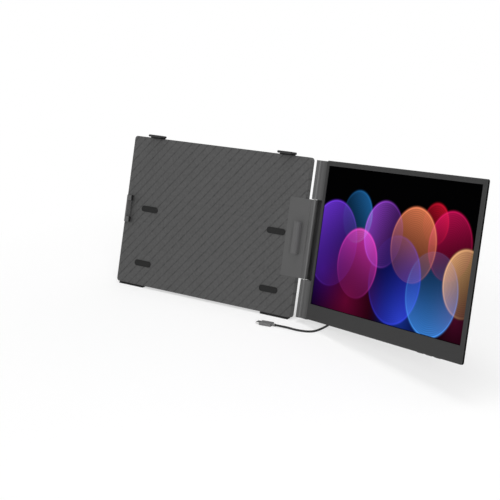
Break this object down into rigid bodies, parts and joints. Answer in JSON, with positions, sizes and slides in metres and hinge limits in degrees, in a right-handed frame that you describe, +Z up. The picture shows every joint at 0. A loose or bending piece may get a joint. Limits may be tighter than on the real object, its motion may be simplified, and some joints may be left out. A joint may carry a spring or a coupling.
{
  "type": "clip-on portable monitor",
  "caption": "Thin wide display hinged to the side of a flat mounting plate with spring clips for a laptop lid, a rear kickstand and a short lead with a plug.",
  "frame": {"origin": "on the table, under the middle of the object's box without its lead", "axes": "+Z up from the table, +X to the right as seen by the person in front and along the longest extent, +Y away from that person"},
  "size_m": [0.726, 0.211, 0.2591],
  "materials": {
    "plate_plastic": "fine-textured dark grey plastic",
    "hinge_plastic": "satin grey plastic",
    "clip_plastic": "satin dark grey plastic",
    "screen_plastic": "fine-textured charcoal plastic",
    "chassis_plastic": "glass-filled black plastic",
    "guide_plastic": "plain black plastic",
    "button_plastic": "satin black plastic",
    "plug_plastic": "satin grey moulded plastic",
    "speaker_plastic": "black plastic box",
    "polarizer": "glossy dark display face, lit from behind",
    "cell_glass": "thin display glass",
    "film": "thin white film",
    "clear_plastic": "clear moulded sheet",
    "tray_metal": "bare pressed sheet",
    "kickstand_metal": "dark grey anodised sheet",
    "steel": "bare pressed steel",
    "spring_steel": "bright spring steel",
    "screw_steel": "blackened steel",
    "socket_metal": "bright plated shell",
    "rubber": "soft black rubber",
    "lead_rubber": "smooth dark lead jacket",
    "wire_rubber": "black sleeved wires",
    "board": "green circuit board"
  },
  "bodies": {
    "plate": {"plate_front_cover": "plate_plastic", "plate_rear_cover": "plate_plastic", "plate_stiffener": "steel", "plate_screws": "screw_steel", "plate_feet": "rubber", "lid_pads": "rubber", "clip_guides": "guide_plastic", "clip_springs": "spring_steel", "hinge_bracket": "steel", "bracket_bolts": "screw_steel", "hinge_block": "hinge_plastic", "right_side_clip": "clip_plastic", "right_clip_liner": "rubber", "socket_housing": "plate_plastic", "usb_socket": "socket_metal", "port_board": "board", "plate_wires": "wire_rubber", "kickstand_pins": "screw_steel", "usb_lead": "lead_rubber", "socket_plug": "plug_plastic", "socket_plug_shell": "socket_metal", "free_plug": "plug_plastic", "free_plug_shell": "socket_metal"},
    "screen": {"upper_hinge_shaft": "steel", "lower_hinge_shaft": "steel", "friction_washers": "spring_steel", "hinge_nuts": "screw_steel", "upper_leaf_bracket": "steel", "lower_leaf_bracket": "steel", "upper_knuckle_cover": "hinge_plastic", "lower_knuckle_cover": "hinge_plastic", "hinge_end_caps": "hinge_plastic", "front_bezel": "screen_plastic", "screen_polarizer": "polarizer", "display_cell": "cell_glass", "diffuser_films": "film", "light_guide": "clear_plastic", "reflector_sheet": "film", "panel_tray": "tray_metal", "led_bar": "board", "chassis_frame": "chassis_plastic", "leaf_screws": "screw_steel", "rear_cover": "screen_plastic", "rear_cover_screws": "screw_steel", "driver_board": "board", "panel_flex": "film", "speakers": "speaker_plastic", "button_board": "board", "screen_wires": "wire_rubber"},
    "power_button": {"power_button": "button_plastic"},
    "menu_button": {"menu_button": "button_plastic"},
    "brightness_button": {"brightness_button": "button_plastic"},
    "left_top_clip": {"left_top_clip": "clip_plastic", "left_top_clip_pad": "rubber"},
    "right_top_clip": {"right_top_clip": "clip_plastic", "right_top_clip_pad": "rubber"},
    "left_side_clip": {"left_side_clip": "clip_plastic", "side_clip_liners": "rubber"},
    "kickstand": {"kickstand": "kickstand_metal", "kickstand_pad": "rubber"}
  },
  "joints": [
    {"name": "screen_hinge", "type": "hinge", "parent": "plate", "child": "screen", "pos_m": [0.00596, 0.05258, 0.11145], "axis": [0, -0.3305, -0.9438], "range_deg": [-19.8, 120.2]},
    {"name": "kickstand_hinge", "type": "hinge", "parent": "plate", "child": "kickstand", "pos_m": [-0.16604, 0.0699, 0.13187], "axis": [1, 0, 0], "range_deg": [-33.9, 25]},
    {"name": "left_top_slide", "type": "slide", "parent": "plate", "child": "left_top_clip", "axis": [0, 0.3305, 0.9438], "range_m": [0, 0.025], "stiffness_N_per_m": 200, "springref_m": -0.02},
    {"name": "right_top_slide", "type": "slide", "parent": "plate", "child": "right_top_clip", "axis": [0, 0.3305, 0.9438], "range_m": [0, 0.025], "stiffness_N_per_m": 200, "springref_m": -0.02},
    {"name": "left_side_slide", "type": "slide", "parent": "plate", "child": "left_side_clip", "axis": [-1, 0, 0], "range_m": [0, 0.005], "stiffness_N_per_m": 500, "springref_m": -0.008},
    {"name": "power_press", "type": "slide", "parent": "screen", "child": "power_button", "axis": [0, 0.3305, 0.9438], "range_m": [0, 0.0005], "stiffness_N_per_m": 800, "springref_m": -0.001},
    {"name": "menu_press", "type": "slide", "parent": "screen", "child": "menu_button", "axis": [0, 0.3305, 0.9438], "range_m": [0, 0.0005], "stiffness_N_per_m": 800, "springref_m": -0.001},
    {"name": "brightness_press", "type": "slide", "parent": "screen", "child": "brightness_button", "axis": [0, 0.3305, 0.9438], "range_m": [0, 0.0005], "stiffness_N_per_m": 800, "springref_m": -0.001}
  ]
}
